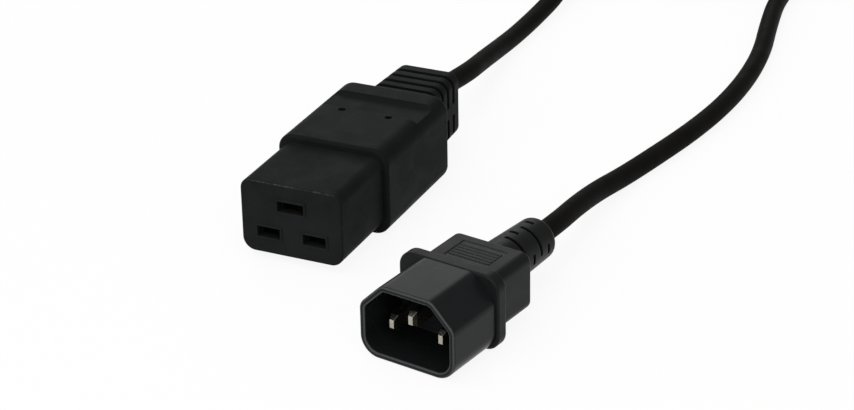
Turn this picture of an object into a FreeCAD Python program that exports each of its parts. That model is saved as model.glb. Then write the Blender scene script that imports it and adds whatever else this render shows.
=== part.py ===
import FreeCAD, Part
import math
import os

# A mains jumper lead: a straight C19 connector, a three-core cord and a C14 plug.
# The C19 connector is the object itself. Its nose points to -Y, its underside rests on
# Z = 0, and the origin is under the middle of its length. Every length is in millimetres.

V = FreeCAD.Vector

# ---- cord and cores ------------------------------------------------------------------
CORD_D = 5.6
CORD_GRIP = 9.0             # jacket held inside each strain relief
CORD_OUT = 7.5              # straight on past each exit before the first bend
CORD_BEND = 0.45            # share of the shorter run that each bend's arc takes up
CORE_D = 2.0                # insulated core
CONDUCTOR_D = 1.1           # stranded copper, 0.75 mm2 and its lay
CORE_GAP = 0.05             # between the cores where they enter the jacket
CORE_LEAD = 3.0             # straight core behind each barrel and ahead of the jacket
CORE_BEND_R = 3.0
CORE_ANGLES = (210, 330, 90)    # line, neutral and earth round the jacket's middle

# ---- terminals, shared by both ends --------------------------------------------------
STRIP_T = 0.5               # sheet that the female contacts are folded from
BARREL_WALL = 0.35          # crimp barrel round the strands
BARREL_L = 6.0
CRIMP_L = 4.0               # strands inside the barrel

# ---- C19 contact carrier -------------------------------------------------------------
NOSE_W = 28.6
NOSE_H = 20.2
NOSE_L = 23.7               # bare nose in front of the overmould
NOSE_TOP_R = 3.0
NOSE_BOTTOM_R = 3.5
NOSE_EDGE_R = 0.5           # broken edge round the front face
NOSE_SEAT_L = 6.0           # full section carried on inside the overmould
NECK_STEP = 2.0             # undercut that keys the overmould
NECK_L = 3.0
COLLAR_L = 3.0
COLLAR_STEP = 0.9
FRONT_WALL = 2.4
C19_PITCH = 13.0            # line to neutral
C19_EARTH_RISE = 8.0        # earth above the line and neutral row
C19_ROW_Z = -4.0            # that row below the axis
SLOT_W = 6.5
EARTH_SLOT_W = 7.5
SLOT_H = 2.9
SLOT_RIM_W = 0.5            # raised lip round each slot
SLOT_RIM_H = 0.3
CHAMBER_GAP = 0.2           # round a contact in its chamber
CAP_T = 2.4

# ---- C19 female contacts -------------------------------------------------------------
BLADE_T = 2.0               # male blade that the contacts take
PINCH = 0.2                 # how far the leaves close below the blade
CONTACT_H = 4.2
CONTACT_SIDE_GAP = 0.4      # contact narrower than its slot, each side
MOUTH_FLARE = 0.5
LIP_L = 1.6                 # flared lip
LEAF_L = 19.0               # sprung leaf from pinch to root
HEEL_L = 9.0                # closed heel behind the leaves, against the cap

# ---- C19 overmould and ribbed strain relief ------------------------------------------
SHOULDER_SIDE = 1.6         # overmould stands this far outside the nose
SHOULDER_TOP = 2.0
BODY_L = 38.4
BODY_TOP_R = 4.4
BODY_BOTTOM_R = 4.4
BODY_EDGE_R = 0.9           # front edge
BODY_REAR_R = 2.1
GRIP_START = 21.0           # thumb recesses above and below, behind the shoulder
GRIP_L = 10.1
GRIP_DEPTH = 1.1
GRIP_SWEEP_R = 1.7          # hollow that ends each recess towards the cord
CORE_PIN_D = 2.0            # holes left by the mould's support pins
CORE_PIN_DEPTH = 2.0
CORE_PIN_X = 6.8
CORE_PIN_BACK = 1.4         # ahead of the upper recess
RELIEF_L = 21.2
RELIEF_W = 20.4
RELIEF_H = 19.0
RELIEF_END_W = 18.4
RELIEF_END_H = 18.6
RELIEF_R = 3.0
RELIEF_END_R = 0.9
RIB_GROOVES = 4
GROOVE_W = 1.6
GROOVE_PITCH = 3.9
GROOVE_FIRST = 4.4          # plain stretch before the first groove
GROOVE_DEPTH = 1.9
WEB_H = 3.2                 # web that ties the ribs along each side

# ---- C14 shroud and pins -------------------------------------------------------------
SHROUD_W = 27.0
SHROUD_H = 19.8
SHROUD_L = 17.6             # bare shroud in front of the flange
SHROUD_CHAMFER = 6.3
SHROUD_CHAMFER_R = 3.2
SHROUD_R = 5.2
SHROUD_WALL = 1.5
SHROUD_LIP_R = 0.6
SHROUD_DEPTH = 15.6
C14_PITCH = 14.0
C14_EARTH_RISE = 4.0
C14_ROW_Z = -2.0
PIN_W = 2.0
PIN_H = 4.0
PIN_TAPER = 1.4             # length of the bevelled tip
PIN_TIP_W = 0.4             # bevel on each side of the tip
PIN_TIP_H = 0.9             # bevel above and below the tip
PIN_RECESS = 4.0            # line and neutral tips behind the rim
EARTH_RECESS = 1.9
TAIL_STEP = 2.2             # shroud's tail inside the overmould
TAIL_L = 6.0

# ---- C14 overmould and slotted strain relief -----------------------------------------
FLANGE_W = 28.6
FLANGE_H = 20.0
FLANGE_T = 3.6
FLANGE_R = 4.1
FLANGE_EDGE_R = 0.6
PLUG_W = 22.6
PLUG_H = 15.4
PLUG_L = 15.6
PLUG_R = 2.6
PLUG_REAR_R = 0.8
PAD_W = 12.6                # recessed finger pads with cross ribs, above and below
PAD_L = 8.8
PAD_BACK = 3.0              # from the plug's rear edge
PAD_DEPTH = 0.35
PAD_RIBS = 5
PAD_RIB_W = 0.85
PAD_RIB_GAP = 0.5           # between the ribs' ends and the pad's sides
PAD_RIB_DROP = 0.05         # ribs below the face round them
BOOT_L = 20.9
BOOT_D = 12.8
BOOT_END_D = 11.2
BOOT_END_R = 1.6
SLOT_RING_W = 1.1
SLOT_RING_DEPTH = 1.4
SLOT_RINGS = 4
SLOT_RING_PITCH = 3.5
SLOT_RING_END = 4.7         # last ring of slots ahead of the boot's end
LONG_SLOTS = 2
LONG_SLOT_ARC = 98.0
LONG_SLOT_TURN = 45.0       # middle of the first long slot, up from the side
SHORT_SLOTS = 4
SHORT_SLOT_ARC = 26.0

# ---- where the lead lies -------------------------------------------------------------
C14_X = 48.8
C14_Y = -77.4
C14_YAW = -9.9
COIL_X = 27.5               # middle of the put-away coil
COIL_Y = 211.0
COIL_TURN_D = 56.0          # across the middle of its turns
COIL_TURNS = 3.5            # a spiral inwards on the top layer, then outwards below it
COIL_LAYERS = 2
COIL_LEAD = 20.0            # straight cord where each end leaves the coil
COIL_SKIN = 0.1             # the coil's outer shape stands this far outside its turns

BODY_W = NOSE_W + 2 * SHOULDER_SIDE
BODY_H = NOSE_H + 2 * SHOULDER_TOP
C19_L = NOSE_L + BODY_L + RELIEF_L
C19_MID = (C19_L - SLOT_RIM_H) / 2
C19_AXIS_Z = BODY_H / 2
C14_AXIS_Z = FLANGE_H / 2
C14_L = SHROUD_L + FLANGE_T + PLUG_L + BOOT_L
CORD_R = CORD_D / 2
FULL_TURN = 360.0
BARREL_D = CONDUCTOR_D + 2 * BARREL_WALL


def outline(points, radii, y=0.0):
    """A closed face across Y: the polygon of (x, z) points with each corner rounded."""
    count = len(points)
    starts, ends, middles = [], [], []
    for i, (x, z) in enumerate(points):
        here = V(x, y, z)
        before = V(points[i - 1][0], y, points[i - 1][1]) - here
        after = V(points[(i + 1) % count][0], y, points[(i + 1) % count][1]) - here
        before.normalize()
        after.normalize()
        half = before.getAngle(after) / 2
        if radii[i] > 0:
            back = radii[i] / math.tan(half)
            inward = before + after
            inward.normalize()
            centre = here + inward * (radii[i] / math.sin(half))
            starts.append(here + before * back)
            ends.append(here + after * back)
            middles.append(centre - inward * radii[i])
        else:
            starts.append(here)
            ends.append(here)
            middles.append(None)
    edges = []
    for i in range(count):
        if middles[i] is not None:
            edges.append(Part.Arc(starts[i], middles[i], ends[i]).toShape())
        if ends[i].distanceToPoint(starts[(i + 1) % count]) > 1e-6:
            edges.append(Part.LineSegment(ends[i], starts[(i + 1) % count]).toShape())
    return Part.Face(Part.Wire(edges))


def rounded(w, h, top_r, bottom_r, y=0.0):
    """A rectangle across Y, centred on the axis."""
    corners = [(-w / 2, -h / 2), (w / 2, -h / 2), (w / 2, h / 2), (-w / 2, h / 2)]
    return outline(corners, [bottom_r, bottom_r, top_r, top_r], y)


def prism(face, length):
    return face.extrude(V(0, length, 0))


def block(x, y, z, w, length, h):
    """A box centred on (x, z) that starts at y."""
    return Part.makeBox(w, length, h, V(x - w / 2, y, z - h / 2))


def rod(x, z, d, y, length):
    return Part.makeCylinder(d / 2, length, V(x, y, z), V(0, 1, 0))


def edges_at(shape, y):
    """Edges that lie wholly in the plane across Y at y."""
    return [e for e in shape.Edges
            if abs(e.BoundBox.YMin - y) < 1e-4 and abs(e.BoundBox.YMax - y) < 1e-4]


def smooth_path(points, radius_at):
    """Straight runs joined by tangent arcs; radius_at(i) gives each inner point's radius."""
    edges, radii = [], []
    cursor = points[0]
    for i in range(1, len(points) - 1):
        here = points[i]
        into = here - points[i - 1]
        out = points[i + 1] - here
        turn = into.getAngle(out)
        into.normalize()
        out.normalize()
        radius = radius_at(i, turn)
        back = radius * math.tan(turn / 2)
        start, end = here - into * back, here + out * back
        inward = out - into
        inward.normalize()
        centre = here + inward * (radius / math.cos(turn / 2))
        edges.append(Part.LineSegment(cursor, start).toShape())
        edges.append(Part.Arc(start, centre - inward * radius, end).toShape())
        radii.append(radius)
        cursor = end
    edges.append(Part.LineSegment(cursor, points[-1]).toShape())
    return Part.Wire(edges), radii


def swept(path, start, heading, d):
    profile = Part.Wire([Part.Circle(start, heading, d / 2).toShape()])
    return path.makePipeShell([profile], True, False)


def core_route(barrel_end, entry):
    """A core's centreline from its barrel to its place at the jacket's end."""
    return [barrel_end, barrel_end + V(0, CORE_LEAD, 0), entry - V(0, CORE_LEAD, 0), entry]


def wires(barrel_ends, jacket_y):
    """Insulation and conductor for three cores that gather into the cord's jacket."""
    circle = (CORE_D + CORE_GAP) / math.sqrt(3)
    sleeves, strands = [], []
    for end, angle in zip(barrel_ends, CORE_ANGLES):
        entry = V(circle * math.cos(math.radians(angle)), jacket_y,
                  circle * math.sin(math.radians(angle)))
        route = core_route(end, entry)
        path, _ = smooth_path(route, lambda i, turn: CORE_BEND_R)
        strand = swept(path, end, V(0, 1, 0), CONDUCTOR_D)
        crimped = rod(end.x, end.z, CONDUCTOR_D, end.y - CRIMP_L, CRIMP_L)
        sleeves.append(swept(path, end, V(0, 1, 0), CORE_D).cut(strand))
        strands.append(strand.fuse(crimped).removeSplitter())
    return sleeves, strands


def barrel(x, z, y):
    """Crimp barrel with a blind bore open to the rear."""
    tube = rod(x, z, BARREL_D, y, BARREL_L)
    return tube.cut(rod(x, z, CONDUCTOR_D, y + BARREL_L - CRIMP_L, CRIMP_L))


# ---- C19 end, built with the nose's front face at y = 0 and the axis at z = 0 ---------
c19_slots = [(-C19_PITCH / 2, C19_ROW_Z, SLOT_W),
             (C19_PITCH / 2, C19_ROW_Z, SLOT_W),
             (0.0, C19_ROW_Z + C19_EARTH_RISE, EARTH_SLOT_W)]
seat_y = NOSE_L + NOSE_SEAT_L
collar_y = seat_y + NECK_L
carrier_end = collar_y + COLLAR_L
heel_y = carrier_end - HEEL_L
contact_y = heel_y - LEAF_L - LIP_L
barrel_end_y = carrier_end + BARREL_L


def female_contact(x, z, slot_w):
    """Two sprung leaves on a closed heel, folded from strip, with a crimp barrel."""
    w = slot_w - 2 * CONTACT_SIDE_GAP
    pinch = (BLADE_T - PINCH) / 2
    mouth = pinch + MOUTH_FLARE
    root = CONTACT_H / 2
    upper = [(contact_y, mouth), (contact_y, mouth + STRIP_T),
             (contact_y + LIP_L, pinch + STRIP_T), (heel_y, root),
             (heel_y + HEEL_L, root)]
    inner = [(heel_y + STRIP_T, root - STRIP_T), (heel_y, root - STRIP_T),
             (contact_y + LIP_L, pinch)]
    loop = [V(x - w / 2, y, z + h) for y, h in upper]
    loop += [V(x - w / 2, y, z - h) for y, h in reversed(upper)]
    loop += [V(x - w / 2, y, z - h) for y, h in reversed(inner)]
    loop += [V(x - w / 2, y, z + h) for y, h in inner]
    spring = Part.Face(Part.makePolygon(loop + [loop[0]])).extrude(V(w, 0, 0))
    return spring.fuse(barrel(x, z, heel_y + HEEL_L))


contacts = [female_contact(*slot) for slot in c19_slots]


def collar(y, length):
    """The section behind the neck, a little smaller than the nose."""
    return prism(rounded(NOSE_W - 2 * COLLAR_STEP, NOSE_H - 2 * COLLAR_STEP,
                         NOSE_TOP_R, NOSE_BOTTOM_R, y), length)


nose = prism(rounded(NOSE_W, NOSE_H, NOSE_TOP_R, NOSE_BOTTOM_R), seat_y)
nose = nose.makeFillet(NOSE_EDGE_R, edges_at(nose, 0.0))
neck = prism(rounded(NOSE_W - 2 * NECK_STEP, NOSE_H - 2 * NECK_STEP,
                     NOSE_TOP_R, NOSE_BOTTOM_R, seat_y), NECK_L)
carrier_outside = nose.fuse([neck, collar(collar_y, COLLAR_L)])
carrier = carrier_outside
for x, z, w in c19_slots:
    lip = block(x, -SLOT_RIM_H, z, w + 2 * SLOT_RIM_W, SLOT_RIM_H + NOSE_EDGE_R,
                SLOT_H + 2 * SLOT_RIM_W)
    carrier = carrier.fuse(lip)
for x, z, w in c19_slots:
    chamber_w = w - 2 * CONTACT_SIDE_GAP + 2 * CHAMBER_GAP
    chamber_h = CONTACT_H + 2 * CHAMBER_GAP
    carrier = carrier.cut(block(x, -SLOT_RIM_H, z, w, SLOT_RIM_H + FRONT_WALL, SLOT_H))
    carrier = carrier.cut(block(x, FRONT_WALL, z, chamber_w, carrier_end, chamber_h))
carrier = carrier.removeSplitter()

cap_outside = collar(carrier_end, CAP_T)
cap = cap_outside
for x, z, _ in c19_slots:
    cap = cap.cut(rod(x, z, BARREL_D, carrier_end, CAP_T))

c19_cord_y = C19_L - CORD_GRIP
c19_sleeves, c19_strands = wires([V(x, barrel_end_y, z) for x, z, _ in c19_slots],
                                 c19_cord_y)


def c19_relief():
    """A tapered block whose grooves stop at a web along each side."""
    root_y = NOSE_L + BODY_L
    near = rounded(RELIEF_W, RELIEF_H, RELIEF_R, RELIEF_R, root_y - BODY_REAR_R)
    far = rounded(RELIEF_END_W, RELIEF_END_H, RELIEF_R, RELIEF_R, C19_L)
    solid = Part.makeLoft([near.OuterWire, far.OuterWire], True, True)
    solid = solid.makeFillet(RELIEF_END_R, edges_at(solid, C19_L))
    core_near = rounded(RELIEF_W - 2 * GROOVE_DEPTH, RELIEF_H - 2 * GROOVE_DEPTH,
                        RELIEF_R - GROOVE_DEPTH / 2, RELIEF_R - GROOVE_DEPTH / 2,
                        root_y - BODY_REAR_R)
    core_far = rounded(RELIEF_END_W - 2 * GROOVE_DEPTH, RELIEF_END_H - 2 * GROOVE_DEPTH,
                       RELIEF_R - GROOVE_DEPTH / 2, RELIEF_R - GROOVE_DEPTH / 2, C19_L)
    core = Part.makeLoft([core_near.OuterWire, core_far.OuterWire], True, True)
    for i in range(RIB_GROOVES):
        y = root_y + GROOVE_FIRST + i * GROOVE_PITCH
        slab = block(0, y, 0, 2 * RELIEF_W, GROOVE_W, 2 * RELIEF_H)
        web = block(0, y, 0, 2 * RELIEF_W, GROOVE_W, WEB_H)
        solid = solid.cut(slab.cut(core.fuse(web)))
    return solid


def c19_body():
    solid = prism(rounded(BODY_W, BODY_H, BODY_TOP_R, BODY_BOTTOM_R, NOSE_L), BODY_L)
    solid = solid.makeFillet(BODY_EDGE_R, edges_at(solid, NOSE_L))
    solid = solid.makeFillet(BODY_REAR_R, edges_at(solid, NOSE_L + BODY_L))
    grip_y = NOSE_L + GRIP_START
    sweep_reach = math.sqrt(GRIP_SWEEP_R ** 2 - (GRIP_SWEEP_R - GRIP_DEPTH) ** 2)
    sweep_y = grip_y + GRIP_L - sweep_reach
    for face in (-1, 1):
        solid = solid.cut(block(0, grip_y, face * BODY_H / 2, BODY_W, sweep_y - grip_y,
                                2 * GRIP_DEPTH))
        sweep_z = face * (BODY_H / 2 - GRIP_DEPTH + GRIP_SWEEP_R)
        solid = solid.cut(Part.makeCylinder(GRIP_SWEEP_R, BODY_W,
                                            V(-BODY_W / 2, sweep_y, sweep_z), V(1, 0, 0)))
    for side in (-1, 1):
        solid = solid.cut(Part.makeCylinder(CORE_PIN_D / 2, CORE_PIN_DEPTH,
                                            V(side * CORE_PIN_X, grip_y - CORE_PIN_BACK,
                                              BODY_H / 2 - CORE_PIN_DEPTH)))
    return solid


def embed(solid, pieces):
    """Mould the solid round the pieces that it holds."""
    for piece in pieces:
        solid = solid.cut(piece)
    return solid


c19_cord_end = rod(0, 0, CORD_D, c19_cord_y, CORD_GRIP)
c19_overmould = embed(c19_body().fuse(c19_relief()),
                      [carrier_outside, cap_outside, c19_cord_end]
                      + contacts + c19_sleeves + c19_strands)


# ---- C14 end, built with the shroud's rim at y = 0 and the axis at z = 0 --------------
c14_pins = [(-C14_PITCH / 2, C14_ROW_Z, PIN_RECESS),
            (C14_PITCH / 2, C14_ROW_Z, PIN_RECESS),
            (0.0, C14_ROW_Z + C14_EARTH_RISE, EARTH_RECESS)]
tail_end = SHROUD_L + TAIL_L
plug_y = SHROUD_L + FLANGE_T
boot_y = plug_y + PLUG_L
c14_cord_y = C14_L - CORD_GRIP


def shroud_outline(inset, y):
    """The keyed outline: two bevelled corners above and two round ones below."""
    w = SHROUD_W / 2 - inset
    h = SHROUD_H / 2 - inset
    bevel = SHROUD_CHAMFER - inset * (2 - math.sqrt(2))
    key_r = max(SHROUD_CHAMFER_R - inset, 0)
    round_r = max(SHROUD_R - inset, 0)
    return outline([(-w, -h), (w, -h), (w, h - bevel), (w - bevel, h),
                    (bevel - w, h), (-w, h - bevel)],
                   [round_r, round_r, key_r, key_r, key_r, key_r], y)


def male_pin(x, z, recess):
    """A flat blade with a bevelled tip and a crimp barrel behind the tail."""
    tip = rounded(PIN_W - 2 * PIN_TIP_W, PIN_H - 2 * PIN_TIP_H, 0, 0, recess)
    full = rounded(PIN_W, PIN_H, 0, 0, recess + PIN_TAPER)
    blade = Part.makeLoft([tip.OuterWire, full.OuterWire], True, True)
    blade = blade.fuse(prism(full, tail_end - recess - PIN_TAPER)).removeSplitter()
    blade.translate(V(x, 0, z))
    return blade.fuse(barrel(x, z, tail_end))


pins = [male_pin(*pin) for pin in c14_pins]
shroud_block = prism(shroud_outline(0, 0), SHROUD_L)
shroud_tail = prism(shroud_outline(TAIL_STEP, SHROUD_L), TAIL_L)
shroud = shroud_block.cut(prism(shroud_outline(SHROUD_WALL, 0), SHROUD_DEPTH))
shroud = shroud.makeFillet(SHROUD_LIP_R, edges_at(shroud, 0.0))
shroud = shroud.fuse(shroud_tail).cut(Part.makeCompound(pins)).removeSplitter()

c14_sleeves, c14_strands = wires([V(x, tail_end + BARREL_L, z) for x, z, _ in c14_pins],
                                 c14_cord_y)


def sector(y, length, radius, middle, arc):
    """A slice of a cylinder about the axis, centred on an angle up from +X."""
    def at(angle):
        return V(radius * math.cos(math.radians(angle)), y,
                 radius * math.sin(math.radians(angle)))
    start, end = at(middle - arc / 2), at(middle + arc / 2)
    edges = [Part.LineSegment(V(0, y, 0), start).toShape(),
             Part.Arc(start, at(middle), end).toShape(),
             Part.LineSegment(end, V(0, y, 0)).toShape()]
    return prism(Part.Face(Part.Wire(edges)), length)


def c14_boot():
    """A tapered round boot with long and short slots in turn, so that it bends evenly."""
    root = boot_y - PLUG_REAR_R
    length = C14_L - root
    solid = Part.makeCone(BOOT_D / 2, BOOT_END_D / 2, length, V(0, root, 0), V(0, 1, 0))
    solid = solid.makeFillet(BOOT_END_R, edges_at(solid, C14_L))
    core = Part.makeCone(BOOT_D / 2 - SLOT_RING_DEPTH, BOOT_END_D / 2 - SLOT_RING_DEPTH,
                         length, V(0, root, 0), V(0, 1, 0))
    for ring in range(SLOT_RINGS):
        y = C14_L - SLOT_RING_END - ring * SLOT_RING_PITCH
        if ring % 2:
            count, arc, first = LONG_SLOTS, LONG_SLOT_ARC, LONG_SLOT_TURN
        else:
            count, arc, first = SHORT_SLOTS, SHORT_SLOT_ARC, 0.0
        for i in range(count):
            cutter = sector(y, SLOT_RING_W, BOOT_D, first + i * FULL_TURN / count, arc)
            solid = solid.cut(cutter.cut(core))
    return solid


def c14_body():
    flange = prism(rounded(FLANGE_W, FLANGE_H, FLANGE_R, FLANGE_R, SHROUD_L), FLANGE_T)
    flange = flange.makeFillet(FLANGE_EDGE_R, edges_at(flange, SHROUD_L)
                               + edges_at(flange, plug_y))
    grip = prism(rounded(PLUG_W, PLUG_H, PLUG_R, PLUG_R, SHROUD_L + FLANGE_T / 2),
                 PLUG_L + FLANGE_T / 2)
    grip = grip.makeFillet(PLUG_REAR_R, edges_at(grip, boot_y))
    pad_y = boot_y - PAD_BACK - PAD_L
    step = (PAD_L - PAD_RIB_W) / (PAD_RIBS + 1)
    for face in (-1, 1):
        pad = block(0, pad_y, face * PLUG_H / 2, PAD_W, PAD_L, 2 * PAD_DEPTH)
        for i in range(PAD_RIBS):
            rib_z = face * (PLUG_H / 2 - PAD_DEPTH)
            pad = pad.cut(block(0, pad_y + (i + 1) * step, rib_z, PAD_W - 2 * PAD_RIB_GAP,
                                PAD_RIB_W, 2 * (PAD_DEPTH - PAD_RIB_DROP)))
        grip = grip.cut(pad)
    return flange.fuse(grip)


c14_cord_end = rod(0, 0, CORD_D, c14_cord_y, CORD_GRIP)
c14_overmould = embed(c14_body().fuse(c14_boot()),
                      [shroud_block, shroud_tail, c14_cord_end]
                      + pins + c14_sleeves + c14_strands)


# ---- the free cord -------------------------------------------------------------------
# Each stretch runs from the jacket's end inside a strain relief to a lead of the coil.
def c14_place(x, y, z):
    """A point of the C14 end in the frame of the whole lead."""
    a = math.radians(C14_YAW)
    return V(C14_X + x * math.cos(a) - y * math.sin(a),
             C14_Y + x * math.sin(a) + y * math.cos(a), C14_AXIS_Z + z)


coil_h = COIL_LAYERS * CORD_D + 2 * COIL_SKIN
coil_w = CORD_D * (COIL_TURNS / COIL_LAYERS + 1) + 2 * COIL_SKIN
coil_out = (COIL_TURN_D + coil_w) / 2
coil_in = (COIL_TURN_D - coil_w) / 2
turn_edge = CORD_R + COIL_SKIN      # from the shape's outside to the middle of a turn
c19_coil_end = V(COIL_X + turn_edge - coil_out, COIL_Y - COIL_LEAD, coil_h - turn_edge)
c14_coil_end = V(COIL_X - turn_edge + coil_out, COIL_Y - COIL_LEAD, turn_edge)

FROM_C19 = [V(0, C19_L - CORD_GRIP - C19_MID, C19_AXIS_Z),
            V(0, C19_L + CORD_OUT - C19_MID, C19_AXIS_Z),
            V(1.1, 65.8, 10.5), V(-1.2, 81.5, 7.6), V(-3.1, 97, 4.8), V(-4.2, 113, CORD_R),
            V(-4.2, 130, CORD_R), V(-3.9, 147, 4.0), c19_coil_end - V(0, COIL_LEAD, 0),
            c19_coil_end]
FROM_C14 = [c14_place(0, c14_cord_y, 0), c14_place(0, C14_L + CORD_OUT, 0),
            V(59.4, 3.2, 7.7), V(59.2, 19, 4.9), V(61.0, 34, CORD_R), V(64.6, 50, CORD_R),
            V(68.3, 68, CORD_R), V(70.8, 88, CORD_R), V(71, 109, CORD_R),
            V(68.8, 130, CORD_R), V(64.3, 150, CORD_R),
            c14_coil_end - V(0, COIL_LEAD, 0), c14_coil_end]


def tube(route):
    """The cord's jacket along a route."""
    def radius(i, turn):
        run = min((route[i] - route[i - 1]).Length, (route[i + 1] - route[i]).Length)
        return CORD_BEND * run / math.tan(turn / 2)
    path, radii = smooth_path(route, radius)
    solid = swept(path, route[0], route[1] - route[0], CORD_D)
    section = math.pi * CORD_R ** 2
    print("cord %.1f long, radii %s, volume ratio %.4f" % (
        path.Length, " ".join("%.0f" % r for r in radii), solid.Volume / path.Length / section))
    return solid


def coil():
    """The outer shape of the wound turns, with the straight lead at each end."""
    corners = [(coil_in, 0), (coil_out, 0), (coil_out, coil_h), (coil_in, coil_h)]
    ring = outline(corners, [CORD_R] * 4).revolve(V(0, 0, 0), V(0, 0, 1), FULL_TURN)
    ring.translate(V(COIL_X, COIL_Y, 0))
    for end in (c19_coil_end, c14_coil_end):
        ring = ring.fuse(rod(end.x, end.z, CORD_D, end.y, COIL_LEAD))
    return ring.removeSplitter()


nodes = {"c19_contact_carrier": carrier, "c19_carrier_cap": cap,
         "c19_overmould": c19_overmould}
for kind, contact, sleeve, strand in zip(("line", "neutral", "earth"), contacts,
                                         c19_sleeves, c19_strands):
    nodes["c19_%s_contact" % kind] = contact
    nodes["c19_%s_insulation" % kind] = sleeve
    nodes["c19_%s_conductor" % kind] = strand
for shape in nodes.values():
    shape.translate(V(0, -C19_MID, C19_AXIS_Z))

c14 = {"c14_shroud": shroud, "c14_overmould": c14_overmould}
for kind, pin, sleeve, strand in zip(("neutral", "line", "earth"), pins,
                                     c14_sleeves, c14_strands):
    c14["c14_%s_pin" % kind] = pin
    c14["c14_%s_insulation" % kind] = sleeve
    c14["c14_%s_conductor" % kind] = strand
for shape in c14.values():
    shape.rotate(V(0, 0, 0), V(0, 0, 1), C14_YAW)
    shape.translate(V(C14_X, C14_Y, C14_AXIS_Z))
nodes.update(c14)
nodes["cord_from_c19"] = tube(FROM_C19)
nodes["cord_from_c14"] = tube(FROM_C14)
nodes["cord_coil"] = coil()

os.makedirs("parts", exist_ok=True)
for name, shape in nodes.items():
    shape.exportStep("parts/%s.step" % name)
    print(name, len(shape.Solids), "%.1f mm3" % shape.Volume)
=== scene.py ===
# %% [markdown]
# This file dresses a mains jumper lead for a rack: a straight C19 connector, a three-core
# cord and a C14 plug. Every rigid piece was modelled as a solid beforehand, and the solids
# already have the right shape and place. Blender adds the flexible cord, the finish of each
# surface, the camera and the light.

# %% Load the solids
import bmesh
import bpy
import math
from mathutils import Matrix, Vector


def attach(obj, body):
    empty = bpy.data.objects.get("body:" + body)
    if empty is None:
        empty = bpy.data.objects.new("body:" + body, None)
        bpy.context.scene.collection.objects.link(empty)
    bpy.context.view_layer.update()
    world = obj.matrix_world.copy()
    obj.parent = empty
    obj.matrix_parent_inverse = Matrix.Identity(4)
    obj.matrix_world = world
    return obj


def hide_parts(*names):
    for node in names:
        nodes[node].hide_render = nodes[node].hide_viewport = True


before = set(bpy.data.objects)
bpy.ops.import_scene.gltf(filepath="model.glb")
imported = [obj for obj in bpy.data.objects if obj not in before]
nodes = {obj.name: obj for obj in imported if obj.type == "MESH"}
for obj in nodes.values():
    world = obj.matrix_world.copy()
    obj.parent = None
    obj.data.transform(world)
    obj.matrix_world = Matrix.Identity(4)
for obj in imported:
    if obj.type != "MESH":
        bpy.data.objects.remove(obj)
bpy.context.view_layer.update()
print("solids:", len(nodes))

# %% [markdown]
# The camera is set before anything else, because it decides how large each detail looks.
# A long lens from some distance away keeps the sides of the small connectors nearly
# parallel. It looks down at them from their front right.

# %% Camera
CAMERA_AT = Vector((0.27083, -0.53567, 0.29677))
CAMERA_LOOKS = Vector((-0.38152, 0.80956, -0.44616))
CAMERA_UP = Vector((-0.17312, 0.41155, 0.89479))
LENS_MM = 105.4
SENSOR_MM = 36
NEAREST = 0.01              # metres from the lens at which things begin to show

camera_data = bpy.data.cameras.new("camera")
camera_data.lens = LENS_MM
camera_data.sensor_width = SENSOR_MM
camera_data.clip_start = NEAREST
camera = bpy.data.objects.new("camera", camera_data)
right = CAMERA_LOOKS.cross(CAMERA_UP).normalized()
up = right.cross(CAMERA_LOOKS).normalized()
turn = Matrix((right, up, -CAMERA_LOOKS.normalized())).transposed()
camera.matrix_world = Matrix.Translation(CAMERA_AT) @ turn.to_4x4()
bpy.context.scene.collection.objects.link(camera)
bpy.context.scene.camera = camera
print("camera %.2f m from the origin" % CAMERA_AT.length)

# %% [markdown]
# The cord is one length of round cable with a thick jacket. It could be swept as a mesh
# tube, but one NURBS curve with a round bevel is simpler and stays smooth at any distance.
# Its control points are the ones that the solid tubes were laid along. A quadratic NURBS
# curve stays close to such points and bends evenly between them, as a thick jacket does.
# The bevel is one metre deep and each point scales it to the cord's radius. Blender widens
# the box round a NURBS curve by its points' radius, so this way the box fits the cord.

# %% The cord's route from each end
CORD_D = 0.0056
FROM_C19 = [(0, 32.8, 12.1), (0, 49.3, 12.1), (1.1, 65.8, 10.5), (-1.2, 81.5, 7.6),
            (-3.1, 97, 4.8), (-4.2, 113, 2.8), (-4.2, 130, 2.8), (-3.9, 147, 4.0),
            (-5.4, 171, 8.5), (-5.4, 191, 8.5)]
FROM_C14 = [(57.17, -29.43, 10.0), (60.01, -13.17, 10.0), (59.4, 3.2, 7.7), (59.2, 19, 4.9),
            (61.0, 34, 2.8), (64.6, 50, 2.8), (68.3, 68, 2.8), (70.8, 88, 2.8),
            (71, 109, 2.8), (68.8, 130, 2.8), (64.3, 150, 2.8), (60.4, 171, 2.9),
            (60.4, 191, 2.9)]
print("control points:", len(FROM_C19), "and", len(FROM_C14))

# %% [markdown]
# The rest of the cord is wound up behind the two connectors. Three and a half turns lie in
# two layers: the cord spirals inwards on the upper layer, drops, and spirals outwards again
# below it. A loop works the turns out, because no hand places fifty points on a spiral.

# %% The put-away length
COIL_AT = (27.5, 211.0)
COIL_TURN_D = 56.0
COIL_TURNS = 3.5
POINTS_PER_TURN = 16


def coil_points():
    """Control points of the turns, in millimetres, clockwise from the left side."""
    d = CORD_D * 1000
    growth = d * COIL_TURNS / 2
    half_step = math.pi / POINTS_PER_TURN
    steps = int(COIL_TURNS * POINTS_PER_TURN)
    points = []
    for i in range(steps):
        done = (i + 0.5) / steps
        radius = COIL_TURN_D / 2 + growth * (abs(2 * done - 1) - 0.5)
        radius /= math.cos(half_step)
        drop = min(max((done - 0.5) * COIL_TURNS * 2 + 0.5, 0), 1)
        angle = math.pi - (2 * i + 1) * half_step
        points.append((COIL_AT[0] + radius * math.cos(angle),
                       COIL_AT[1] + radius * math.sin(angle), d * (1.5 - drop)))
    return points


route = FROM_C19 + coil_points() + FROM_C14[::-1]
print("cord control points:", len(route))

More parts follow.
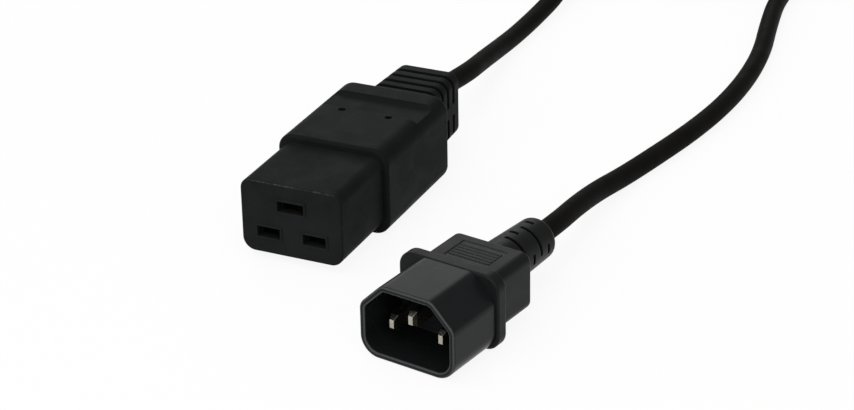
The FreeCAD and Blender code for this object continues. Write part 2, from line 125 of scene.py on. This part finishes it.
# %% [markdown]
# The curve gets a round section with enough sides to look round, and enough steps between
# two control points to look smooth. Then the solid tubes that it stands for are hidden, and
# the cord is hung on the root.

# %% The cord itself
SECTION_STEPS = 8           # in each quarter of the round section
SPAN_STEPS = 12             # between two control points

cord_curve = bpy.data.curves.new("cord", "CURVE")
cord_curve.dimensions = "3D"
cord_curve.bevel_depth = 1.0
cord_curve.bevel_resolution = SECTION_STEPS
cord_curve.resolution_u = SPAN_STEPS
spline = cord_curve.splines.new("NURBS")
spline.points.add(len(route) - 1)
for point, place in zip(spline.points, route):
    point.co = (*(v / 1000 for v in place), 1)
    point.radius = CORD_D / 2
spline.order_u = 3
spline.use_endpoint_u = True
cord = bpy.data.objects.new("cord", cord_curve)
bpy.context.scene.collection.objects.link(cord)

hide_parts("cord_from_c19", "cord_from_c14", "cord_coil")
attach(cord, "root")
print("cord length %.3f m" % spline.calc_length())

# %% [markdown]
# Every finish below is procedural: it is worked out from the place of each point on the
# object, so the detail stays sharp close up. A node tree in code gets long, so one helper
# adds a node and fills or links its sockets, and two more start and end a node group. An
# effect that several finishes share is such a group, built once.

# %% Helpers for node trees
def add(tree, kind, inputs, **settings):
    """Add a shader node. An input is a plain value, or the output of another node."""
    made = tree.nodes.new("ShaderNode" + kind)
    for name, value in settings.items():
        setattr(made, name, value)
    for name, value in inputs.items():
        if isinstance(value, bpy.types.NodeSocket):
            tree.links.new(value, made.inputs[name])
        else:
            made.inputs[name].default_value = value
    return made


def start_group(name, inputs, outputs):
    """Start a node group with number inputs; outputs gives each output's kind."""
    tree = bpy.data.node_groups.new(name, "ShaderNodeTree")
    for label, value in inputs.items():
        socket = tree.interface.new_socket(label, in_out="INPUT",
                                           socket_type="NodeSocketFloat")
        socket.default_value = value
    for label, kind in outputs.items():
        tree.interface.new_socket(label, in_out="OUTPUT", socket_type="NodeSocket" + kind)
    return tree, tree.nodes.new("NodeGroupInput").outputs


def end_group(tree, results):
    end = tree.nodes.new("NodeGroupOutput")
    for label, source in results.items():
        tree.links.new(source, end.inputs[label])
    print("group", tree.name, "with", len(tree.nodes), "nodes")


def math_of(tree, operation, first, second=0.0):
    return add(tree, "Math", {0: first, 1: second}, operation=operation).outputs[0]


def ramp_of(tree, value, low, high, to_low=0.0, to_high=1.0):
    """Map low..high to to_low..to_high, and hold the ends."""
    return add(tree, "MapRange", {"Value": value, "From Min": low, "From Max": high,
                                  "To Min": to_low, "To Max": to_high}).outputs[0]


print("helpers:", add.__name__, start_group.__name__, end_group.__name__,
      math_of.__name__, ramp_of.__name__)

# %% [markdown]
# A moulding tool for such connectors is spark-eroded, which leaves a fine matt grain of
# small pits and bumps on the plastic. It would take millions of faces to model, so it is a
# bump: fine noise for the bumps, and rounded Voronoi cells for the pits. A second, much
# larger noise shows how the melt flowed, as faint clouds in the colour and the gloss.

# %% Group: moulded grain
PIT_SHARE = 0.6             # height of the pits beside that of the bumps

grain_tree, given = start_group("moulded_grain", {"Grain": 5000.0, "Flow": 90.0},
                                {"Height": "Float", "Flow": "Float"})
place = add(grain_tree, "TexCoord", {}).outputs["Object"]
bumps = add(grain_tree, "TexNoise", {"Vector": place, "Scale": given["Grain"],
                                     "Detail": 3.0, "Roughness": 0.6})
pits = add(grain_tree, "TexVoronoi", {"Vector": place, "Scale": given["Grain"],
                                      "Smoothness": 0.6}, feature="SMOOTH_F1")
clouds = add(grain_tree, "TexNoise", {"Vector": place, "Scale": given["Flow"],
                                      "Detail": 4.0, "Roughness": 0.55, "Distortion": 0.8})
height = math_of(grain_tree, "ADD", bumps.outputs[0],
                 math_of(grain_tree, "MULTIPLY", pits.outputs["Distance"], PIT_SHARE))
flow = ramp_of(grain_tree, clouds.outputs[0], 0.3, 0.7)
end_group(grain_tree, {"Height": height, "Flow": flow})

# %% [markdown]
# Handling polishes a moulding first where it stands out. The Bevel node looks at the
# surface round each point and returns a normal as if the edges were rounded. Where that
# normal leaves the true one, there is an edge. The same normal, used for the shading, also
# gives every sharp edge the small radius that a real moulding has. A noise breaks the wear
# up, so that no edge is worn evenly.

# %% Group: worn edges
BEVEL_RAYS = 6
WEAR_PATCHES = 700.0        # per metre

edge_tree, given = start_group("worn_edges", {"Radius": 0.0003},
                               {"Edge": "Float", "Normal": "Vector"})
rounded = add(edge_tree, "Bevel", {"Radius": given["Radius"]}, samples=BEVEL_RAYS)
surface = add(edge_tree, "NewGeometry", {})
agree = add(edge_tree, "VectorMath", {0: rounded.outputs[0], 1: surface.outputs["Normal"]},
            operation="DOT_PRODUCT").outputs["Value"]
place = add(edge_tree, "TexCoord", {}).outputs["Object"]
patchy = add(edge_tree, "TexNoise", {"Vector": place, "Scale": WEAR_PATCHES, "Detail": 3.0})
edge = math_of(edge_tree, "MULTIPLY", ramp_of(edge_tree, agree, 0.99, 0.85),
               ramp_of(edge_tree, patchy.outputs[0], 0.35, 0.6, 0.25, 1.0))
end_group(edge_tree, {"Edge": edge, "Normal": rounded.outputs[0]})

# %% [markdown]
# Fingers leave soft smears that are a little glossier, and dark plastic shows every speck
# of dust. Smears are a stretched noise, cut off so that only its peaks show. Specks are the
# middles of a few Voronoi cells, chosen by the random colour that each cell has.

# %% Group: traces of handling
SMEARS = 220.0              # per metre
DUSTY_CELLS = 0.975         # the random value above which a cell holds a speck
SPECK_SIZE = 0.09           # beside the size of its cell

trace_tree, given = start_group("handling", {"Specks": 900.0},
                                {"Smear": "Float", "Dust": "Float"})
place = add(trace_tree, "TexCoord", {}).outputs["Object"]
stretched = add(trace_tree, "Mapping", {"Vector": place, "Rotation": (0.3, 0.2, 0.6),
                                        "Scale": (1.0, 0.35, 1.0)}).outputs[0]
smears = add(trace_tree, "TexNoise", {"Vector": stretched, "Scale": SMEARS, "Detail": 5.0,
                                      "Distortion": 1.5})
cells = add(trace_tree, "TexVoronoi", {"Vector": place, "Scale": given["Specks"]})
chance = add(trace_tree, "SeparateColor", {"Color": cells.outputs["Color"]}).outputs[0]
chosen = math_of(trace_tree, "GREATER_THAN", chance, DUSTY_CELLS)
middles = math_of(trace_tree, "LESS_THAN", cells.outputs["Distance"], SPECK_SIZE)
end_group(trace_tree, {"Smear": ramp_of(trace_tree, smears.outputs[0], 0.5, 0.72),
                       "Dust": math_of(trace_tree, "MULTIPLY", chosen, middles)})

# %% [markdown]
# All the plastic pieces are mouldings, so they share one recipe with its own values for each
# plastic. The colour runs between a dark and a light tone with the flow of the melt, gets
# lighter on worn edges and takes a speck of dust here and there. The gloss follows the
# clouds, the wear and the smears. The specular level is low, because filled soft PVC
# reflects little.

# %% A recipe for moulded plastics
RUB_GAIN, RUB_HAZE = 2.5, 0.006     # how rubbing lifts the light tone
DUST = (0.25, 0.24, 0.22)
DUST_SHARE = 0.15
GLOSS_SPREAD = 0.05                 # of the melt's clouds, above and below the middle
SMEAR_GLOSS = 0.06
WORN_GLOSS = 0.1


def blend(tree, mask, below, above):
    """One colour over another where the mask is 1. Above is plain; below may be linked."""
    below = below if isinstance(below, bpy.types.NodeSocket) else (*below, 1)
    return add(tree, "Mix", {"Factor": mask, 6: below, 7: (*above, 1)},
               data_type="RGBA").outputs[2]


def moulded(name, dark, light, roughness, specular, grain=4500.0, depth=8e-6,
            edge_radius=0.0003, wear=0.35):
    """A moulded plastic; grain is per metre, wear is how strongly its edges are rubbed."""
    material = bpy.data.materials.new(name)
    material.use_nodes = True
    tree = material.node_tree
    shader = tree.nodes["Principled BSDF"]
    grained = add(tree, "Group", {"Grain": grain}, node_tree=grain_tree).outputs
    worn = add(tree, "Group", {"Radius": edge_radius}, node_tree=edge_tree).outputs
    traces = add(tree, "Group", {}, node_tree=trace_tree).outputs

    tone = blend(tree, grained["Flow"], dark, light)
    rubbed = [RUB_GAIN * v + RUB_HAZE for v in light]
    tone = blend(tree, math_of(tree, "MULTIPLY", worn["Edge"], wear), tone, rubbed)
    tone = blend(tree, math_of(tree, "MULTIPLY", traces["Dust"], DUST_SHARE), tone, DUST)
    gloss = ramp_of(tree, grained["Flow"], 0.0, 1.0, roughness + GLOSS_SPREAD,
                    roughness - GLOSS_SPREAD)
    smeared = math_of(tree, "MULTIPLY", traces["Smear"], SMEAR_GLOSS)
    gloss = math_of(tree, "SUBTRACT", gloss, smeared)
    polished = math_of(tree, "MULTIPLY", worn["Edge"], WORN_GLOSS)
    gloss = math_of(tree, "SUBTRACT", gloss, polished)
    bump = add(tree, "Bump", {"Strength": 1.0, "Distance": depth, "Height": grained["Height"],
                              "Normal": worn["Normal"]}).outputs[0]
    tree.links.new(tone, shader.inputs["Base Color"])
    tree.links.new(gloss, shader.inputs["Roughness"])
    tree.links.new(bump, shader.inputs["Normal"])
    shader.inputs["Specular IOR Level"].default_value = specular
    print("plastic", name)
    return material


# %% [markdown]
# The two overmouldings are soft PVC. The nose is a harder plastic with a coarser grain. The
# shroud is the glossiest, because it comes from a polished mould; its edges are lightened
# more strongly, partly as rubbed wear and partly as a painted highlight along the rim. The
# cord's jacket is matt and has no edges to wear.

# %% The plastics of the lead
c19_pvc = moulded("c19_pvc", (0.0076, 0.0083, 0.0084), (0.0096, 0.0104, 0.0105),
                  roughness=0.46, specular=0.016)
c14_pvc = moulded("c14_pvc", (0.0084, 0.0088, 0.0088), (0.0106, 0.0111, 0.0111),
                  roughness=0.40, specular=0.080)
carrier = moulded("carrier_plastic", (0.0094, 0.0099, 0.0102), (0.0132, 0.0138, 0.0141),
                  roughness=0.44, specular=0.010, grain=2600.0, depth=3e-5)
# wear=0.8 lightens the shroud's edges: rubbed wear, and a painted highlight along the rim
shroud = moulded("shroud_plastic", (0.0082, 0.0089, 0.0093), (0.0104, 0.0113, 0.0117),
                 roughness=0.26, specular=0.088, grain=6000.0, depth=4e-6, wear=0.8)
jacket = moulded("jacket_pvc", (0.0066, 0.0064, 0.0057), (0.0086, 0.0083, 0.0075),
                 roughness=0.50, specular=0.010, grain=3500.0, edge_radius=0.0001, wear=0.0)

# %% [markdown]
# One mark belongs to a single edge. The two halves of the nose's mould meet along its upper
# front edge, and the pale flash there was trimmed by hand, which left a broken line. The line
# is painted lighter both for that flash and as a painted highlight where the edge catches the
# light. A mask finds the edge by its place: near the front face and near the top. Noise breaks
# it up. A small helper lays such a mark over the colour that a finished material already has.

# %% The trimmed edge of the nose, with its painted highlight
NOSE_FRONT, NOSE_TOP = -0.0418, 0.0222
TRIM_DEEP, TRIM_LOW = 0.0003, 0.0002    # behind the front face and below the top
TRIM_FADE = 0.0003
TRIM_BREAKS = 900.0                     # per metre
FLASH_AND_HIGHLIGHT_TONE = (0.060, 0.060, 0.057)


def mark(material, mask, tone):
    """Lay a tone over the colour that a material has so far, where the mask is 1."""
    tree = material.node_tree
    colour = tree.nodes["Principled BSDF"].inputs["Base Color"]
    tree.links.new(blend(tree, mask, colour.links[0].from_socket, tone), colour)


tree = carrier.node_tree
where = add(tree, "TexCoord", {}).outputs["Object"]
axes = add(tree, "SeparateXYZ", {0: where}).outputs
near_front = ramp_of(tree, axes[1], NOSE_FRONT + TRIM_DEEP + TRIM_FADE, NOSE_FRONT + TRIM_DEEP)
near_top = ramp_of(tree, axes[2], NOSE_TOP - TRIM_LOW - TRIM_FADE, NOSE_TOP - TRIM_LOW)
breaks = add(tree, "TexNoise", {"Vector": where, "Scale": TRIM_BREAKS,
                                "Detail": 5.0}).outputs[0]
# the pale flash and the painted highlight along the edge, in one lighter line
line = math_of(tree, "MULTIPLY", math_of(tree, "MULTIPLY", near_front, near_top),
               ramp_of(tree, breaks, 0.45, 0.62, 0.15, 1.0))
mark(carrier, line, FLASH_AND_HIGHLIGHT_TONE)
print("trimmed edge at", NOSE_FRONT, NOSE_TOP)

# %% [markdown]
# The lip of the shroud is rounded on both of its edges. The mould is polished there, and each
# rounding gets a painted highlight: a thin light line in its colour. A mask finds the lines by
# place and by slope: near the open end, and where the surface has turned about halfway from
# the end face to the sides.

# %% The painted highlights on the lip of the shroud
PLUG_YAW = math.radians(-9.9)
PLUG_RIM = (0.0488, -0.0774)
LIP_L, LIP_FADE = 0.0006, 0.0002            # depth of the rounding, and the fade behind it
LIP_HIGHLIGHT_TONE = (0.050, 0.053, 0.053)
LIP_HIGHLIGHT_SLOPES = (-0.30, -0.60, -0.90, -0.985)  # where a line begins, is full, and ends

inward = (-math.sin(PLUG_YAW), math.cos(PLUG_YAW), 0.0)
rim_at = PLUG_RIM[0] * inward[0] + PLUG_RIM[1] * inward[1]
tree = shroud.node_tree
place = add(tree, "TexCoord", {}).outputs
depth_in = add(tree, "VectorMath", {0: place["Object"], 1: inward},
               operation="DOT_PRODUCT").outputs["Value"]
slope = add(tree, "VectorMath", {0: place["Normal"], 1: inward},
            operation="DOT_PRODUCT").outputs["Value"]
near_rim = ramp_of(tree, depth_in, rim_at + LIP_L + LIP_FADE, rim_at + LIP_L)
begins, full, fades, ends = LIP_HIGHLIGHT_SLOPES
halfway = math_of(tree, "MULTIPLY", ramp_of(tree, slope, begins, full),
                  ramp_of(tree, slope, ends, fades))
# paint the highlight lines onto the lip's roundings
mark(shroud, math_of(tree, "MULTIPLY", near_rim, halfway), LIP_HIGHLIGHT_TONE)
print("polished lip at", PLUG_RIM)

# %% [markdown]
# The grooves of the finger pads lie in shade between the ribs. Their colour is painted paler
# than the plug round them, as painted light that lifts that shade, so the ribs stand out only
# faintly. The mask is the space of the two pads: so far behind the rim, so near the middle and
# so low beside the ribs.

# %% Painted light in the finger pads
PLUG_AXIS_Z = 0.010
PAD_FROM, PAD_TO = 0.0249, 0.0339   # behind the rim
PAD_SIDE = 0.00635                  # from the middle
PAD_RIB_TOP = 0.00762               # above and below the axis
PAD_PAINTED_LIGHT_TONE = (0.050, 0.052, 0.052)

sideways = (math.cos(PLUG_YAW), math.sin(PLUG_YAW), 0.0)
middle_at = PLUG_RIM[0] * sideways[0] + PLUG_RIM[1] * sideways[1]
tree = c14_pvc.node_tree
where = add(tree, "TexCoord", {}).outputs["Object"]


def near(value, centre, reach):
    """1 where the value lies within reach of the centre, otherwise 0."""
    away = math_of(tree, "ABSOLUTE", math_of(tree, "SUBTRACT", value, centre))
    return math_of(tree, "LESS_THAN", away, reach)


behind = add(tree, "VectorMath", {0: where, 1: inward},
             operation="DOT_PRODUCT").outputs["Value"]
across = add(tree, "VectorMath", {0: where, 1: sideways},
             operation="DOT_PRODUCT").outputs["Value"]
above = add(tree, "SeparateXYZ", {0: where}).outputs[2]
painted_light = near(behind, rim_at + (PAD_FROM + PAD_TO) / 2, (PAD_TO - PAD_FROM) / 2)
painted_light = math_of(tree, "MULTIPLY", painted_light, near(across, middle_at, PAD_SIDE))
painted_light = math_of(tree, "MULTIPLY", painted_light, near(above, PLUG_AXIS_Z, PAD_RIB_TOP))
# paint the shaded grooves paler, as painted light
mark(c14_pvc, painted_light, PAD_PAINTED_LIGHT_TONE)
print("dusty pads behind the rim by", PAD_FROM, "to", PAD_TO)

# %% [markdown]
# The plug's blades are brass with a nickel plate, and the female contacts are bare brass
# sheet. Metal has no colour of its own under its reflections, so its look comes from fine
# marks: blades are drawn and ground lengthwise, which leaves long thin scratches. A noise
# squeezed along one direction makes them, turned with the plug by a Mapping node.

# %% A recipe for drawn metals
MARKS, MARK_STRETCH = 9000.0, 0.03  # per metre, and their width beside their length
MARK_DEPTH = 2e-6
PATCHES = 400.0                     # of tarnish, per metre
METAL_EDGE_R = 0.00015


def metal(name, colour, tarnish, roughness, yaw=0.0):
    """A drawn and ground metal with lengthwise marks and patches of tarnish."""
    material = bpy.data.materials.new(name)
    material.use_nodes = True
    tree = material.node_tree
    shader = tree.nodes["Principled BSDF"]
    place = add(tree, "TexCoord", {}).outputs["Object"]
    along = add(tree, "Mapping", {"Vector": place, "Rotation": (0, 0, -yaw),
                                  "Scale": (1.0, MARK_STRETCH, 1.0)}).outputs[0]
    marks = add(tree, "TexNoise", {"Vector": along, "Scale": MARKS, "Detail": 4.0}).outputs[0]
    patches = add(tree, "TexNoise", {"Vector": place, "Scale": PATCHES,
                                     "Detail": 4.0}).outputs[0]
    worn = add(tree, "Group", {"Radius": METAL_EDGE_R}, node_tree=edge_tree).outputs
    tone = blend(tree, ramp_of(tree, patches, 0.4, 0.7), colour, tarnish)
    gloss = ramp_of(tree, marks, 0.3, 0.7, roughness - 0.06, roughness + 0.1)
    bump = add(tree, "Bump", {"Strength": 1.0, "Distance": MARK_DEPTH, "Height": marks,
                              "Normal": worn["Normal"]}).outputs[0]
    tree.links.new(tone, shader.inputs["Base Color"])
    tree.links.new(gloss, shader.inputs["Roughness"])
    tree.links.new(bump, shader.inputs["Normal"])
    shader.inputs["Metallic"].default_value = 1.0
    print("metal", name)
    return material


# %% [markdown]
# Nickel is a slightly warm grey. Brass and copper keep their own colour, and tarnish darker
# where air reaches them. Only the blades lie turned, so only they pass on an angle.

# %% The metals of the lead
plated = metal("nickel_plate", (0.44, 0.42, 0.36), (0.30, 0.28, 0.23), 0.26, PLUG_YAW)
brass = metal("contact_brass", (0.55, 0.42, 0.20), (0.36, 0.26, 0.12), 0.35)
copper = metal("conductor_copper", (0.72, 0.35, 0.20), (0.45, 0.20, 0.11), 0.30)

# %% [markdown]
# The three cores carry the colours that tell a fitter line, neutral and earth apart: brown,
# blue, and green with a yellow stripe. They lie inside the mouldings, but a part that is
# taken apart shows them. The stripe runs along the core where its surface faces up or down.

# %% Core insulation
CORE_FINISH = {"roughness": 0.40, "specular": 0.4}
YELLOW = (0.62, 0.50, 0.04)
STRIPE_HALF = 0.45          # of the core's radius, to each side of its top and bottom

brown = moulded("core_brown", (0.075, 0.032, 0.014), (0.105, 0.048, 0.022), **CORE_FINISH)
blue = moulded("core_blue", (0.015, 0.055, 0.20), (0.025, 0.08, 0.27), **CORE_FINISH)
striped = moulded("core_green_yellow", (0.03, 0.16, 0.03), (0.05, 0.22, 0.05), **CORE_FINISH)
tree = striped.node_tree
sides = add(tree, "SeparateXYZ", {0: add(tree, "NewGeometry", {}).outputs["Normal"]}).outputs
stripe = math_of(tree, "LESS_THAN", math_of(tree, "ABSOLUTE", sides[0]), STRIPE_HALF)
mark(striped, stripe, YELLOW)

# %% [markdown]
# Each solid gets its finish by assigning to its material slots. The name of a node says
# which piece it is, so a table from the end of the name to the finish dresses them all.

# %% Dress the solids
FINISHES = {"carrier": carrier, "carrier_cap": carrier, "c19_overmould": c19_pvc,
            "c14_overmould": c14_pvc, "shroud": shroud, "pin": plated, "_contact": brass,
            "conductor": copper, "line_insulation": brown, "neutral_insulation": blue,
            "earth_insulation": striped}


def dress(piece, material):
    piece.data.materials.clear()
    piece.data.materials.append(material)


for name, node in sorted(nodes.items()):
    if name.startswith("cord_"):
        dress(node, jacket)
    else:
        ending = max((e for e in FINISHES if name.endswith(e)), key=len)
        dress(node, FINISHES[ending])
dress(cord, jacket)
print("dressed", len(nodes), "solids and the cord")

# %% [markdown]
# The lead lies on a sheet of white paper. Paper under studio light is not quite white, so
# the rays that see it, straight, mirrored in a gloss or through glass, are given white. It
# is mixed with enough of the real paper to keep the soft shadow.

# %% Floor
FLOOR_HALF = 3.0            # metres from the middle to each side
WHITE_SHARE = 0.9
PAPER_TONE = (0.93, 0.93, 0.93)

white = bpy.data.materials.new("white_paper")
white.use_nodes = True
tree = white.node_tree
paper = tree.nodes["Principled BSDF"]
paper.inputs["Base Color"].default_value = (*PAPER_TONE, 1)
paper.inputs["Roughness"].default_value = 1.0
paper.inputs["Specular IOR Level"].default_value = 0.0
rays = add(tree, "LightPath", {}).outputs
seen = math_of(tree, "MAXIMUM", rays["Is Camera Ray"],
               math_of(tree, "MAXIMUM", rays["Is Glossy Ray"], rays["Is Transmission Ray"]))
glow = add(tree, "Emission", {"Color": (1, 1, 1, 1), "Strength": 1.0}).outputs[0]
mixed = add(tree, "MixShader", {0: math_of(tree, "MULTIPLY", seen, WHITE_SHARE),
                                1: paper.outputs[0], 2: glow}).outputs[0]
tree.links.new(mixed, tree.nodes["Material Output"].inputs["Surface"])

floor_mesh = bpy.data.meshes.new("floor")
shape = bmesh.new()
bmesh.ops.create_grid(shape, x_segments=1, y_segments=1, size=FLOOR_HALF)
shape.to_mesh(floor_mesh)
shape.free()
floor = bpy.data.objects.new("floor", floor_mesh)
bpy.context.scene.collection.objects.link(floor)
dress(floor, white)
print("floor %.0f m across" % (2 * FLOOR_HALF))

# %% [markdown]
# Dark plastic shows little of its own colour and a lot of what it mirrors. From the camera
# the upper faces mirror a softbox low behind the lead on the left, and their right edges
# mirror the darker room beside it, which draws the dark line along each rounding. A large
# overhead softbox and a dim grey room give an even light. A low softbox in front on the left
# lights the end faces, and a small bright one in front on the right lights the right sides.

# %% Light
def softbox(name, at, aim, width, height, radiance):
    """A rectangular lamp whose surface is as bright as radiance, where 1 is white."""
    lamp = bpy.data.lights.new(name, "AREA")
    lamp.shape = "RECTANGLE"
    lamp.size = width
    lamp.size_y = height
    lamp.energy = radiance * math.pi * width * height
    lit = bpy.data.objects.new(name, lamp)
    lit.location = at
    lit.rotation_euler = (Vector(aim) - Vector(at)).to_track_quat("-Z", "Y").to_euler()
    bpy.context.scene.collection.objects.link(lit)
    print("softbox %s %.2f W" % (name, lamp.energy))


ROOM_STRENGTH = 0.35

world = bpy.data.worlds.new("studio")
world.use_nodes = True
room = world.node_tree.nodes["Background"].inputs
room["Color"].default_value = (1, 1, 1, 1)
room["Strength"].default_value = ROOM_STRENGTH
bpy.context.scene.world = world
bpy.context.scene.view_settings.view_transform = "Standard"

softbox("back_left", (-0.75, 1.25, 0.80), (0, 0, 0.02), 1.4, 1.0, 1.25)
softbox("overhead", (-0.1, -0.3, 1.4), (0, 0, 0), 1.5, 1.4, 1.8)
softbox("front_left", (-0.4, -1.4, 0.35), (0, 0, 0.01), 1.2, 0.7, 3.6)
softbox("front_right", (1.1, -1.0, 0.9), (0, 0, 0), 0.5, 0.5, 5.0)
